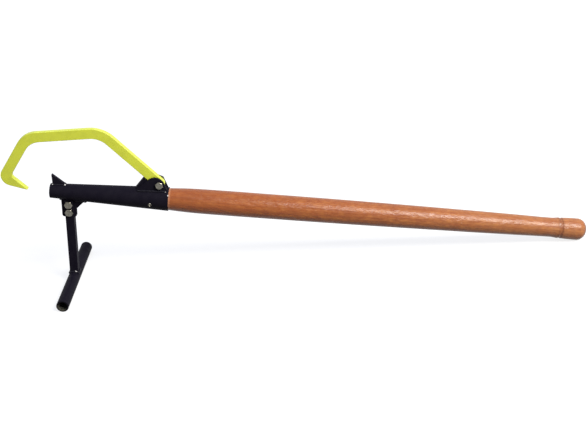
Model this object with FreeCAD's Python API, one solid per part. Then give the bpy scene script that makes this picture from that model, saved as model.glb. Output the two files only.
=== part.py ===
import FreeCAD, Part
import math
import os

from FreeCAD import Placement, Rotation, Vector

# Log lifter (timber jack): a turned hardwood handle in a tapered steel socket, a tooth on
# top of the socket, a flat swinging hook in a clevis behind it, and a T-shaped stand below.
#
# Everything is built in the tool's own frame, in millimetres: X runs along the handle from
# the socket's front rim (0) to the butt, Y goes across, and Z is up, square to the handle.
# The last section stands the tool on its cross tube and butt, with the origin under the
# middle of its box.

os.makedirs("parts", exist_ok=True)

# Overall
overall_length = 1215.0        # front rim of the socket to the end of the handle
overrun = 6.0                  # how far a cutting shape passes through what it cuts
same_point = 1e-5              # points nearer than this are one point
seat_gap = 0.1                 # between pieces that seat in each other and stay put
rest_gap = 0.3                 # between the resting hook and what it leans on

# Socket: a tapered sleeve
socket_length = 260.0
socket_front_r = 16.3
socket_rear_r = 26.7
socket_wall = 2.0
socket_edge_r = 0.6            # rounding of the two rims

# Handle
tenon_setback = 3.0            # the wood ends this far behind the socket's front rim
swell_r = 27.9
waist_r = 22.3
knob_r = 25.0
knob_length = 67.0             # shoulder to butt
waist_to_shoulder = 15.0
shoulder_step = 1.5            # how far the shoulder stands above the waist
groove_setback = 3.0           # shoulder to the ring groove
groove_width = 6.0
groove_depth = 1.3
knob_end_r = 20.0              # rounding of the butt
knob_bow = 0.35                # how far the knob's side bows out
# Places along the free handle, rim to waist, and how much of the swell is left there
swell_shares = [(0.048, 0.82), (0.104, 0.97), (0.217, 1.00), (0.387, 0.98),
                (0.590, 0.79), (0.777, 0.51), (0.904, 0.24)]

# Cross rivet through socket and tenon
rivet_from_rim = 39.6
rivet_shank_r = 3.0
rivet_head_r = 4.5
rivet_head_height = 2.6
rivet_tilt_deg = 14.5          # the near head sits this far below the level

# Tooth
tooth_thickness = 8.0
tooth_rise = 24.1              # tip above the socket's front rim
tooth_tip_x = 3.2
tooth_front_foot_x = 5.6
tooth_rear_foot_x = 34.4
tooth_point_r = 0.5

# Hook: a flat plate that runs eye, arm, bridge, leg, toe
hook_width = 22.0
hook_thickness = 12.7
arm_length = 168.0
arm_rise_deg = 39.87           # the arm climbs this steeply from the eye towards the front
bridge_length = 159.4
bridge_fall_deg = 8.7
leg_length = 124.5
leg_fall_deg = 61.8
toe_length = 61.5
toe_fall_deg = 11.3
toe_wedge_deg = 27.6           # angle of the point
toe_point_r = 1.0
rear_bend_outer_r = 70.0
rear_bend_inner_r = 45.0
front_bend_outer_r = 50.0
front_bend_inner_r = 40.0
heel_outer_r = 23.0
heel_inner_r = 8.0
hook_edge_r = 0.9

# Clevis on the socket's rear end
pivot_from_rim = 20.9          # hinge axis to the socket's rear rim
eye_clearance = 0.45           # eye to the socket's top
ear_thickness = 6.0
ear_side_gap = 0.4             # hook to ear, each side
ear_crown_r = 22.0
ear_crown_ahead = 9.6          # centre of the crown ahead of the pivot
ear_crown_below = 6.3
ear_front_deg = 44.0           # slope of the ears' front edge
ear_rear_deg = 64.0            # slope of their rear edge
ear_rim_setback = 1.0          # the ears end this far short of the socket's rear rim
ear_foot_depth = 14.0          # ear plates reach this far below the socket's top before they are coped
plate_edge_r = 0.7
stop_front_deg = 55.5          # slope of the hook stop's front face
stop_front_ahead = 53.1        # pivot to where that face meets the level of the socket's top
stop_seat_length = 8.0

# Fasteners, all 10 mm thread
bolt_r = 5.0
head_across_flats = 16.0
head_height = 6.4
head_rim_share = 0.94          # the flat top of a head, as a share of its flats
nut_height = 8.4
lock_nut_height = 11.0
lock_nut_collar_r = 7.4
lock_nut_collar_height = 2.8
insert_thickness = 2.0
washer_r = 10.0
stand_washer_r = 9.0           # small series: the stand's bolts sit close together
washer_thickness = 2.0
bolt_end_past_nut = 2.5
bolt_end_chamfer = 1.0
bolt_hole_gap = 0.2            # bolt to its holes in fixed plates
hinge_gap = 0.06               # bolt to the hook's bore, a running fit
nut_gap = 0.05                 # bolt to its nut, washer or insert

# Stand, in its own leaning frame: depth is measured down the upright from the handle's axis
stand_x = 39.4
stand_lean_deg = 3.0
tab_ahead = 17.2               # front edge ahead of the stand's axis
tab_behind = 15.0              # rear edge behind it
tab_thickness = 8.0
tab_depth = 59.5
tab_shoulder_depth = 40.0
tab_gusset_reach = 37.5
tab_gusset_depth = 17.5
tab_top_depth = 6.0
tab_corner_r = 5.0
upright_width = 19.0
upright_top_depth = 17.6
upright_edge_r = 1.2
slot_side_gap = 0.1            # tab to the slot's wall, each side
slot_end_gap = 2.0
upper_bolt_depth = 27.3
stand_bolt_spacing = 18.8
foot_depth = 211.0             # the cross tube's axis
foot_r = 13.45
foot_wall = 2.9
foot_length = 280.0
foot_edge_r = 0.7

# Weld beads
ear_bead_r = 3.2
tooth_bead_r = 2.6
tab_bead_r = 3.0
foot_bead_r = 3.0
bead_end_setback = 3.0         # a bead stops this far short of a rim or a plate's sharp end
round_corners = 2              # sweeping mode: round where two runs of a bead meet

# Derived places
cone_slope = (socket_rear_r - socket_front_r) / socket_length
pivot_x = socket_length - pivot_from_rim
stop_front_x = pivot_x - stop_front_ahead


def cone_radius(x):
    """Outer radius of the socket at x."""
    return socket_front_r + cone_slope * x


eye_r = hook_width / 2
pivot_z = cone_radius(pivot_x) + eye_clearance + eye_r
ear_inner_y = hook_thickness / 2 + ear_side_gap
ear_outer_y = ear_inner_y + ear_thickness
waist_x = overall_length - knob_length - waist_to_shoulder
tenon_rim_r = socket_rear_r - socket_wall - seat_gap
lower_bolt_depth = upper_bolt_depth + stand_bolt_spacing


def flat(x, z, y=0):
    """Point in the tool's long vertical plane."""
    return Vector(x, y, z)


def heading(degrees):
    """Unit direction in that plane, counted from +X towards +Z."""
    angle = math.radians(degrees)
    return flat(math.cos(angle), math.sin(angle))


def rounded_outline(corners):
    """Closed wire through corners, a list of (point, radius), with tangent arcs at them."""
    bends = []
    for index, (corner, radius) in enumerate(corners):
        before = corners[index - 1][0] - corner
        after = corners[(index + 1) % len(corners)][0] - corner
        before.normalize()
        after.normalize()
        half_angle = before.getAngle(after) / 2
        if radius == 0:
            bends.append((corner, None, corner))
            continue
        setback = radius / math.tan(half_angle)
        inward = before + after
        inward.normalize()
        centre = corner + inward * (radius / math.sin(half_angle))
        bends.append((corner + before * setback, centre - inward * radius, corner + after * setback))
    edges = []
    for index, (start, middle, end) in enumerate(bends):
        if middle is not None:
            edges.append(Part.Arc(start, middle, end).toShape())
        next_start = bends[(index + 1) % len(bends)][0]
        # Two arcs of one circle can follow each other with no line between
        if end.distanceToPoint(next_start) > same_point:
            edges.append(Part.makeLine(end, next_start))
        else:
            bends[(index + 1) % len(bends)] = (end,) + bends[(index + 1) % len(bends)][1:]
    return Part.Wire(edges)


def plate(corners, thickness, near_y):
    """Flat plate with a rounded outline, from near_y to near_y + thickness."""
    face = Part.Face(rounded_outline(corners))
    solid = face.extrude(Vector(0, thickness, 0))
    solid.translate(Vector(0, near_y, 0))
    return solid


def face_edges(solid, near_y, far_y):
    """Edges of a plate that lie on its two flat faces."""
    found = []
    for edge in solid.Edges:
        box = edge.BoundBox
        for face_y in (near_y, far_y):
            if abs(box.YMin - face_y) < seat_gap / 2 and abs(box.YMax - face_y) < seat_gap / 2:
                found.append(edge)
    return found


def soften(solid, near_y, far_y, radius):
    """Plate with the sharp edges of its two faces rounded."""
    return solid.makeFillet(radius, face_edges(solid, near_y, far_y))


def cross_bar(radius, x, z, start_y, end_y):
    """Round bar along Y."""
    return Part.makeCylinder(radius, end_y - start_y, flat(x, z, start_y), Vector(0, 1, 0))


def bead(radius, points):
    """Rope of weld through the points, rounded at its corners."""
    section = Part.Wire(Part.makeCircle(radius, points[0], points[1] - points[0]))
    return Part.Wire(Part.makePolygon(points)).makePipeShell([section], True, True, round_corners)


def tapered_bar(offset, start_x, end_x):
    """Solid cone that follows the socket's outside, larger by offset."""
    return Part.makeCone(cone_radius(start_x) + offset, cone_radius(end_x) + offset,
                         end_x - start_x, flat(start_x, 0), Vector(1, 0, 0))


# Full cone inside the socket's outer skin: plates welded to the socket are coped with it
socket_core = tapered_bar(0, 0, socket_length)


# Handle and socket
rivet_x = socket_length - rivet_from_rim
rivet_tilt = math.radians(rivet_tilt_deg)
rivet_way = Vector(0, -math.cos(rivet_tilt), -math.sin(rivet_tilt))


def rivet_bar(radius, reach):
    """Round bar on the cross rivet's axis, reaching out on both sides."""
    return Part.makeCylinder(radius, 2 * reach, flat(rivet_x, 0) - rivet_way * reach, rivet_way)


def make_socket():
    """Tapered sleeve with rounded rims and the rivet's two holes."""
    sleeve = socket_core.cut(tapered_bar(-socket_wall, -overrun, socket_length + overrun))
    rims = []
    for edge in sleeve.Edges:
        box = edge.BoundBox
        if box.XLength < seat_gap:
            rims.append(edge)
    sleeve = sleeve.makeFillet(socket_edge_r, rims)
    return sleeve.cut(rivet_bar(rivet_shank_r + seat_gap, socket_rear_r + overrun))


def make_handle():
    """Turned handle: tapered tenon, swell, waist, ring groove and domed knob."""
    tenon_tip_r = cone_radius(tenon_setback) - socket_wall - seat_gap
    rim = flat(socket_length, tenon_rim_r)
    waist = flat(waist_x, waist_r)
    swell = [rim]
    for length_share, swell_share in swell_shares:
        x = socket_length + length_share * (waist_x - socket_length)
        swell.append(flat(x, waist_r + swell_share * (swell_r - waist_r)))
    swell.append(waist)
    side = Part.BSplineCurve()
    side.interpolate(Points=swell, InitialTangent=swell[1] - swell[0], FinalTangent=Vector(1, 0, 0))

    # The cove leaves the waist level and climbs to the shoulder on one arc
    shoulder = flat(waist_x + waist_to_shoulder, waist_r + shoulder_step)
    cove_r = (waist_to_shoulder ** 2 + shoulder_step ** 2) / (2 * shoulder_step)
    half_turn = math.asin(waist_to_shoulder / cove_r) / 2
    cove_middle = flat(waist_x + cove_r * math.sin(half_turn),
                       waist_r + cove_r * (1 - math.cos(half_turn)))

    groove_start = shoulder + flat(groove_setback, 0)
    groove_bottom = groove_start + flat(groove_width / 2, -groove_depth)
    groove_end = groove_start + flat(groove_width, 0)
    crown = flat(overall_length - knob_end_r, knob_r)
    crown_middle = (groove_end + crown) / 2 + flat(0, knob_bow)
    turn = knob_end_r * math.sqrt(0.5)
    end_middle = crown + flat(turn, turn - knob_end_r)
    butt = crown + flat(knob_end_r, -knob_end_r)

    edges = [Part.makeLine(flat(tenon_setback, 0), flat(tenon_setback, tenon_tip_r)),
             Part.makeLine(flat(tenon_setback, tenon_tip_r), rim),
             side.toShape(),
             Part.Arc(waist, cove_middle, shoulder).toShape(),
             Part.makeLine(shoulder, groove_start),
             Part.Arc(groove_start, groove_bottom, groove_end).toShape(),
             Part.Arc(groove_end, crown_middle, crown).toShape(),
             Part.Arc(crown, end_middle, butt).toShape(),
             Part.makeLine(butt, flat(overall_length, 0)),
             Part.makeLine(flat(overall_length, 0), flat(tenon_setback, 0))]
    face = Part.Face(Part.Wire(edges))
    turned = face.revolve(flat(0, 0), Vector(1, 0, 0), 360)
    return turned.cut(rivet_bar(rivet_shank_r + seat_gap, socket_rear_r + overrun))


def make_rivet():
    """Turned rivet: a shank with a domed head on each side of the socket."""
    seat = cone_radius(rivet_x + rivet_head_r)
    top = seat + rivet_head_height
    dome_r = (rivet_head_r ** 2 + rivet_head_height ** 2) / (2 * rivet_head_height)
    half_turn = math.asin(rivet_head_r / dome_r) / 2
    side_r = dome_r * math.sin(half_turn)
    side_z = top - dome_r * (1 - math.cos(half_turn))
    edges = [Part.Arc(flat(0, -top), flat(side_r, -side_z), flat(rivet_head_r, -seat)).toShape(),
             Part.makeLine(flat(rivet_head_r, -seat), flat(rivet_shank_r, -seat)),
             Part.makeLine(flat(rivet_shank_r, -seat), flat(rivet_shank_r, seat)),
             Part.makeLine(flat(rivet_shank_r, seat), flat(rivet_head_r, seat)),
             Part.Arc(flat(rivet_head_r, seat), flat(side_r, side_z), flat(0, top)).toShape(),
             Part.makeLine(flat(0, top), flat(0, -top))]
    turned = Part.Face(Part.Wire(edges)).revolve(flat(0, 0), Vector(0, 0, 1), 360)
    turned.Placement = Placement(flat(rivet_x, 0), Rotation(Vector(0, 0, 1), rivet_way))
    return turned


# Tooth
def make_tooth():
    """Pointed plate on top of the socket's front end."""
    tip_z = socket_front_r + tooth_rise
    corners = [(flat(tooth_tip_x, tip_z), tooth_point_r),
               (flat(tooth_rear_foot_x, cone_radius(tooth_rear_foot_x)), 0),
               (flat(tooth_rear_foot_x, 0), 0),
               (flat(tooth_front_foot_x, 0), 0),
               (flat(tooth_front_foot_x, cone_radius(tooth_front_foot_x)), 0)]
    solid = plate(corners, tooth_thickness, -tooth_thickness / 2)
    return solid.cut(socket_core)


def make_tooth_weld(tooth):
    """Bead round the tooth's foot."""
    y = tooth_thickness / 2
    front_x = tooth_front_foot_x
    rear_x = tooth_rear_foot_x - tooth_bead_r
    ring = []
    for x, side in ((front_x, -1), (rear_x, -1), (rear_x, 1), (front_x, 1), (front_x, -1)):
        ring.append(flat(x, math.sqrt(cone_radius(x) ** 2 - y ** 2), side * y))
    return bead(tooth_bead_r, ring).cut(socket_core).cut(tooth)


# Clevis and hook stop
def ear_corners():
    """Outline of an ear: round crown between a front and a rear slope, foot inside the socket."""
    centre = flat(pivot_x - ear_crown_ahead, pivot_z - ear_crown_below)
    foot_z = pivot_z - eye_r - ear_foot_depth
    top_z = centre.z + ear_crown_r
    rim_x = socket_length - ear_rim_setback
    # Both slopes are tangents of the crown
    front = centre + heading(ear_front_deg + 90) * ear_crown_r
    rear = centre + heading(90 - ear_rear_deg) * ear_crown_r
    front_slope = math.tan(math.radians(ear_front_deg))
    rear_slope = math.tan(math.radians(ear_rear_deg))
    front_foot = flat(front.x - (front.z - foot_z) / front_slope, foot_z)
    front_top = flat(front.x + (top_z - front.z) / front_slope, top_z)
    rear_top = flat(rear.x - (top_z - rear.z) / rear_slope, top_z)
    rear_rim = flat(rim_x, rear.z - (rim_x - rear.x) * rear_slope)
    return [(front_foot, 0), (front_top, ear_crown_r), (rear_top, ear_crown_r), (rear_rim, 0),
            (flat(rim_x, foot_z), 0)]


def make_ear(side):
    """One clevis plate, coped to the socket, with the bolt's hole."""
    near_y = -ear_outer_y if side < 0 else ear_inner_y
    solid = plate(ear_corners(), ear_thickness, near_y)
    solid = soften(solid, near_y, near_y + ear_thickness, plate_edge_r)
    solid = solid.cut(cross_bar(bolt_r + bolt_hole_gap, pivot_x, pivot_z, near_y - overrun,
                                near_y + ear_thickness + overrun))
    return solid.cut(socket_core)


def make_ear_weld(side, ear):
    """Bead along the outer foot of an ear."""
    y = side * ear_outer_y
    points = []
    corners = ear_corners()
    foot_z = cone_radius(stop_front_x)
    front_x = corners[0][0].x + (foot_z - corners[0][0].z) / math.tan(math.radians(ear_front_deg))
    rear_x = corners[-1][0].x
    for x in (front_x, rear_x - bead_end_setback):
        points.append(flat(x, math.sqrt(cone_radius(x) ** 2 - y ** 2), y))
    return bead(ear_bead_r, points).cut(ear).cut(socket_core)


def arm_underside(setback):
    """A point of the arm's lower edge line, moved away from the arm by setback."""
    return flat(pivot_x, pivot_z) + heading(-90 - arm_rise_deg) * (eye_r + setback)


def make_hook_stop():
    """Wedge between the ears: its front face slopes up to the arm's underside."""
    foot_z = cone_radius(stop_front_x)
    base = arm_underside(rest_gap)
    arm_way = heading(180 - arm_rise_deg)
    front_way = heading(stop_front_deg)
    start = flat(stop_front_x, foot_z)
    # The front face's line meets the line just below the arm
    gap = base - start
    cross = front_way.x * arm_way.z - front_way.z * arm_way.x
    reach = (gap.x * arm_way.z - gap.z * arm_way.x) / cross
    apex = start + front_way * reach
    seat_end = apex - arm_way * stop_seat_length
    sunk = flat(0, -ear_foot_depth)
    front_foot = start + front_way * (-ear_foot_depth / math.sin(math.radians(stop_front_deg)))
    corners = [(front_foot, 0), (apex, plate_edge_r), (seat_end, plate_edge_r),
               (flat(seat_end.x, foot_z) + sunk, 0)]
    solid = plate(corners, 2 * ear_inner_y, -ear_inner_y)
    return solid.cut(socket_core)


# Hook
def crossing(point_a, way_a, point_b, way_b):
    """Where two lines of the plane meet."""
    gap = point_b - point_a
    cross = way_a.x * way_b.z - way_a.z * way_b.x
    return point_a + way_a * ((gap.x * way_b.z - gap.z * way_b.x) / cross)


def make_hook():
    """Plate hook: round eye, straight arm, bridge and leg, and a pointed toe."""
    pivot = flat(pivot_x, pivot_z)
    arm_way = heading(180 - arm_rise_deg)
    bridge_way = heading(180 + bridge_fall_deg)
    leg_way = heading(180 + leg_fall_deg)
    toe_way = heading(-toe_fall_deg)
    rear_bend = pivot + arm_way * arm_length
    front_bend = rear_bend + bridge_way * bridge_length
    heel = front_bend + leg_way * leg_length
    tip = heel + toe_way * toe_length
    top_way = heading(180 - toe_fall_deg - toe_wedge_deg)

    def side_point(start, way, side):
        """Point beside a centre line: side 1 is the outside of the hook, -1 the inside."""
        outward = flat(way.z, -way.x) * side
        return start + outward * (hook_width / 2)

    runs = [(pivot, arm_way), (rear_bend, bridge_way), (front_bend, leg_way)]
    outer = [side_point(start, way, 1) for start, way in runs]
    inner = [side_point(start, way, -1) for start, way in runs]
    eye_back = pivot - arm_way * eye_r
    ways = [way for start, way in runs]
    corners = [(side_point(eye_back, arm_way, 1), eye_r),
               (crossing(outer[0], ways[0], outer[1], ways[1]), rear_bend_outer_r),
               (crossing(outer[1], ways[1], outer[2], ways[2]), front_bend_outer_r),
               (crossing(outer[2], ways[2], heel, toe_way), heel_outer_r),
               (tip, toe_point_r),
               (crossing(tip, top_way, inner[2], ways[2]), heel_inner_r),
               (crossing(inner[2], ways[2], inner[1], ways[1]), front_bend_inner_r),
               (crossing(inner[1], ways[1], inner[0], ways[0]), rear_bend_inner_r),
               (side_point(eye_back, arm_way, -1), eye_r)]
    near_y = -hook_thickness / 2
    solid = plate(corners, hook_thickness, near_y)
    solid = soften(solid, near_y, -near_y, hook_edge_r)
    return solid.cut(cross_bar(bolt_r + hinge_gap, pivot_x, pivot_z, near_y - overrun, overrun - near_y))


# Fasteners: each is made along +Y and then set in place
def hexagon(across_flats, height, start_y, turn_deg):
    """Hexagonal prism along Y, from start_y towards +Y; turn_deg 0 puts a corner at +X."""
    corner_r = across_flats / math.sqrt(3)
    points = []
    for index in range(7):
        points.append(heading(60 * index + turn_deg) * corner_r + flat(0, 0, start_y))
    return Part.Face(Part.makePolygon(points)).extrude(Vector(0, height, 0))


def chamfer_turning(across_flats, height, start_y, low_end, high_end):
    """Turned blank that takes the corners off one or both ends of a hexagon."""
    corner_r = across_flats / math.sqrt(3)
    rim_r = head_rim_share * across_flats / 2
    drop = (corner_r - rim_r) * math.tan(math.radians(30))
    profile = [flat(0, 0, start_y)]
    if low_end:
        profile += [flat(rim_r, 0, start_y), flat(corner_r, 0, start_y + drop)]
    else:
        profile += [flat(corner_r, 0, start_y)]
    if high_end:
        profile += [flat(corner_r, 0, start_y + height - drop), flat(rim_r, 0, start_y + height)]
    else:
        profile += [flat(corner_r, 0, start_y + height)]
    profile += [flat(0, 0, start_y + height), flat(0, 0, start_y)]
    return Part.Face(Part.makePolygon(profile)).revolve(flat(0, 0), Vector(0, 1, 0), 360)


def make_bolt(seat_y, end_y, turn_deg):
    """Hex bolt: its head's underside is at seat_y and its thread ends at end_y."""
    head = hexagon(head_across_flats, head_height, seat_y - head_height, turn_deg)
    head = head.common(chamfer_turning(head_across_flats, head_height, seat_y - head_height, True, False))
    shank = cross_bar(bolt_r, 0, 0, seat_y, end_y - bolt_end_chamfer)
    point = Part.makeCone(bolt_r, bolt_r - bolt_end_chamfer, bolt_end_chamfer,
                          flat(0, 0, end_y - bolt_end_chamfer), Vector(0, 1, 0))
    return head.fuse([shank, point]).removeSplitter()


def make_washer(start_y, radius):
    """Flat washer from start_y outwards."""
    disc = cross_bar(radius, 0, 0, start_y, start_y + washer_thickness)
    return disc.cut(cross_bar(bolt_r + nut_gap, 0, 0, start_y - overrun, start_y + overrun))


def make_nut(start_y, turn_deg):
    """Plain hex nut from start_y outwards."""
    blank = hexagon(head_across_flats, nut_height, start_y, turn_deg)
    blank = blank.common(chamfer_turning(head_across_flats, nut_height, start_y, True, True))
    return blank.cut(cross_bar(bolt_r + nut_gap, 0, 0, start_y - overrun, start_y + nut_height + overrun))


def make_lock_nut(start_y, turn_deg):
    """Hex nut with a round collar that holds a nylon ring: returns nut and ring."""
    hex_height = lock_nut_height - lock_nut_collar_height
    blank = hexagon(head_across_flats, hex_height, start_y, turn_deg)
    blank = blank.common(chamfer_turning(head_across_flats, hex_height, start_y, True, True))
    collar = cross_bar(lock_nut_collar_r, 0, 0, start_y + hex_height, start_y + lock_nut_height)
    nut = blank.fuse(collar)
    nut = nut.cut(cross_bar(bolt_r + nut_gap, 0, 0, start_y - overrun, start_y + lock_nut_height + overrun))
    ring_r = (bolt_r + lock_nut_collar_r) / 2
    ring_start = start_y + lock_nut_height - insert_thickness
    pocket = cross_bar(ring_r + seat_gap, 0, 0, ring_start - seat_gap, ring_start + overrun)
    ring = cross_bar(ring_r, 0, 0, ring_start, start_y + lock_nut_height)
    bore = cross_bar(bolt_r + nut_gap, 0, 0, start_y - overrun, start_y + lock_nut_height + overrun)
    return nut.cut(pocket), ring.cut(bore)


# Stand, in its leaning frame
def down(across, depth, y=0):
    """Point of the stand: across is towards the butt, depth is down the upright."""
    return Vector(across, y, -depth)


def make_tab():
    """Plate under the socket: holds the upright, and runs back in a sloped gusset."""
    corners = [(down(-tab_ahead, tab_top_depth), 0), (down(-tab_ahead, tab_depth), tab_corner_r),
               (down(tab_behind, tab_depth), tab_corner_r), (down(tab_behind, tab_shoulder_depth), 0),
               (down(tab_gusset_reach, tab_gusset_depth), 0), (down(tab_gusset_reach, tab_top_depth), 0)]
    near_y = -tab_thickness / 2
    solid = plate(corners, tab_thickness, near_y)
    solid = soften(solid, near_y, -near_y, plate_edge_r)
    for depth in (upper_bolt_depth, lower_bolt_depth):
        solid = solid.cut(cross_bar(bolt_r + bolt_hole_gap, 0, -depth, near_y - overrun, overrun - near_y))
    return solid


def make_upright():
    """Square bar, slotted at its top over the tab and coped at its foot to the cross tube."""
    half = upright_width / 2
    length = foot_depth - upright_top_depth
    bar = Part.makeBox(upright_width, upright_width, length, down(-half, foot_depth, -half))
    bar = bar.makeFillet(upright_edge_r, [edge for edge in bar.Edges if edge.BoundBox.ZLength > half])
    slot_half = tab_thickness / 2 + slot_side_gap
    slot_depth = tab_depth + slot_end_gap
    slot = Part.makeBox(upright_width + 2 * overrun, 2 * slot_half, slot_depth - upright_top_depth + overrun,
                        down(-half - overrun, slot_depth, -slot_half))
    bar = bar.cut(slot)
    for depth in (upper_bolt_depth, lower_bolt_depth):
        bar = bar.cut(cross_bar(bolt_r + bolt_hole_gap, 0, -depth, -half - overrun, half + overrun))
    return bar.cut(cross_bar(foot_r, 0, -foot_depth, -half - overrun, half + overrun))


def make_cross_tube():
    """Open round tube under the upright."""
    half = foot_length / 2
    tube = cross_bar(foot_r, 0, -foot_depth, -half, half)
    tube = tube.cut(cross_bar(foot_r - foot_wall, 0, -foot_depth, -half - overrun, half + overrun))
    rims = [edge for edge in tube.Edges if edge.BoundBox.YLength < seat_gap]
    return tube.makeFillet(foot_edge_r, rims)


def make_foot_weld(upright, tube):
    """Bead all round the upright's foot, over the tube's curve and along its sides."""
    half = upright_width / 2
    side_depth = foot_depth - math.sqrt(foot_r ** 2 - half ** 2)
    ring = Part.makeSphere(foot_bead_r, down(half, side_depth, -half))
    for y in (-half, half):
        for across in (-half, half):
            ring = ring.fuse(Part.makeSphere(foot_bead_r, down(across, side_depth, y)))
        saddle = Part.Arc(down(-half, side_depth, y), down(0, foot_depth - foot_r, y),
                          down(half, side_depth, y)).toShape()
        tangent = saddle.tangentAt(saddle.FirstParameter)
        section = Part.Wire(Part.makeCircle(foot_bead_r, down(-half, side_depth, y), tangent))
        ring = ring.fuse(Part.Wire(saddle).makePipeShell([section], True, True))
    for across in (-half, half):
        ring = ring.fuse(cross_bar(foot_bead_r, across, -side_depth, -half, half))
    filled_tube = cross_bar(foot_r, 0, -foot_depth, -foot_length / 2, foot_length / 2)
    return ring.cut(filled_tube).cut(upright)


# Where the tab's outline leaves the socket's underside, front and rear
lean = math.radians(stand_lean_deg)
tab_front_x = stand_x + (socket_front_r - tab_ahead) * math.tan(lean) - tab_ahead
tab_rear_x = stand_x + tab_gusset_reach


def make_tab_weld(tab):
    """Beads round the tab's front and rear ends, clear of the upright's cheeks."""
    beads = []
    reach = upright_width / 2 + rest_gap + tab_bead_r
    middle_x = stand_x + upright_top_depth * math.tan(lean)
    for end_x, inner_x in ((tab_front_x, middle_x - reach), (tab_rear_x, middle_x + reach)):
        points = []
        for x, side in ((inner_x, -1), (end_x, -1), (end_x, 1), (inner_x, 1)):
            y = side * tab_thickness / 2
            points.append(flat(x, -math.sqrt(cone_radius(x) ** 2 - y ** 2), y))
        beads.append(bead(tab_bead_r, points).cut(socket_core).cut(tab))
    return Part.makeCompound(beads)


stand_place = Placement(flat(stand_x, 0), Rotation(Vector(0, 1, 0), -stand_lean_deg))


def on_stand(solid, depth=0):
    """Moves a piece from the stand's frame, or from a bolt's axis at depth, to the tool's."""
    solid.translate(down(0, depth))
    solid.Placement = stand_place.multiply(solid.Placement)
    return solid


def on_pivot(solid):
    """Moves a fastener from its own axis to the hook's pivot."""
    solid.translate(flat(pivot_x, pivot_z))
    return solid


nodes = {}
nodes["socket"] = make_socket()
nodes["handle"] = make_handle()
nodes["handle_rivet"] = make_rivet()

nodes["tooth"] = make_tooth()
nodes["tooth_weld"] = make_tooth_weld(nodes["tooth"])

for side_name, side_sign in (("near", -1), ("far", 1)):
    nodes[side_name + "_ear"] = make_ear(side_sign)
    nodes[side_name + "_ear_weld"] = make_ear_weld(side_sign, nodes[side_name + "_ear"])
nodes["hook_stop"] = make_hook_stop()

nodes["hook"] = make_hook()
pivot_nut_y = ear_outer_y + washer_thickness
pivot_end_y = pivot_nut_y + lock_nut_height + bolt_end_past_nut
nodes["pivot_bolt"] = on_pivot(make_bolt(-ear_outer_y, pivot_end_y, 15))
nodes["pivot_washer"] = on_pivot(make_washer(ear_outer_y, washer_r))
lock_nut, nylon_ring = make_lock_nut(pivot_nut_y, 10)
nodes["pivot_nut"] = on_pivot(lock_nut)
nodes["pivot_nut_insert"] = on_pivot(nylon_ring)

tube = make_cross_tube()
upright = make_upright()
nodes["foot_weld"] = on_stand(make_foot_weld(upright, tube))
nodes["cross_tube"] = on_stand(tube)
nodes["upright"] = on_stand(upright).cut(tapered_bar(rest_gap, 0, socket_length))
nodes["stand_tab"] = on_stand(make_tab()).cut(socket_core)
nodes["stand_tab_weld"] = make_tab_weld(nodes["stand_tab"])
stand_seat_y = upright_width / 2
stand_end_y = stand_seat_y + washer_thickness + nut_height + bolt_end_past_nut
for level, depth, turn in (("upper", upper_bolt_depth, 0), ("lower", lower_bolt_depth, 4)):
    nodes[level + "_stand_bolt"] = on_stand(make_bolt(-stand_seat_y, stand_end_y, turn), depth)
    nodes[level + "_stand_washer"] = on_stand(make_washer(stand_seat_y, stand_washer_r), depth)
    nodes[level + "_stand_nut"] = on_stand(make_nut(stand_seat_y + washer_thickness, 12 + turn), depth)

# Stand the tool up: the floor touches the cross tube and the butt's rounding from below
foot_axis = stand_place.multVec(down(0, foot_depth))
butt_axis = flat(overall_length - knob_end_r, knob_end_r - knob_r)
between = butt_axis - foot_axis
floor_turn = math.asin((foot_r - knob_end_r) / between.Length)
stand_up_deg = math.degrees(math.atan2(between.z, between.x) + floor_turn)
stand_up = Placement(Vector(0, 0, 0), Rotation(Vector(0, 1, 0), stand_up_deg))

for shape in nodes.values():
    shape.Placement = stand_up.multiply(shape.Placement)
whole = Part.makeCompound(list(nodes.values())).optimalBoundingBox(False)
to_origin = Vector(-(whole.XMin + whole.XMax) / 2, -(whole.YMin + whole.YMax) / 2, -whole.ZMin)
move = Placement(to_origin, Rotation())
for name, shape in nodes.items():
    shape.Placement = move.multiply(shape.Placement)
    shape.exportStep("parts/" + name + ".step")

pivot_point = move.multVec(stand_up.multVec(flat(pivot_x, pivot_z)))
foot_point = move.multVec(stand_up.multVec(foot_axis))
print("tilt of the handle, degrees:", round(stand_up_deg, 3))
print("size, mm:", round(whole.XLength, 2), round(whole.YLength, 2), round(whole.ZLength, 2))
print("front rim centre, mm:", [round(v, 3) for v in move.multVec(flat(0, 0))])
print("pivot, mm:", [round(v, 3) for v in pivot_point])
print("cross tube axis, mm:", [round(v, 3) for v in foot_point])
for name, shape in nodes.items():
    print(name, len(shape.Solids), "solid(s)", round(shape.Volume, 1), "mm3", "valid" if shape.isValid() else "BAD")
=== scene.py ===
# %% [markdown]
# # A log lifter, dressed in Blender
# A log lifter is a long wooden lever with a steel nose. The hook swings over a log and grips it, the
# lever is pulled down, and the T-shaped stand holds the log off the ground while it is sawn.
# The CAD model already has every plate and tube in its true place. This script gives them their
# finishes, and remakes the turned, threaded and welded parts with the detail that the CAD leaves out.

import math
import random

import bmesh
import bpy
from mathutils import Euler, Matrix, Vector, noise


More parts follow.
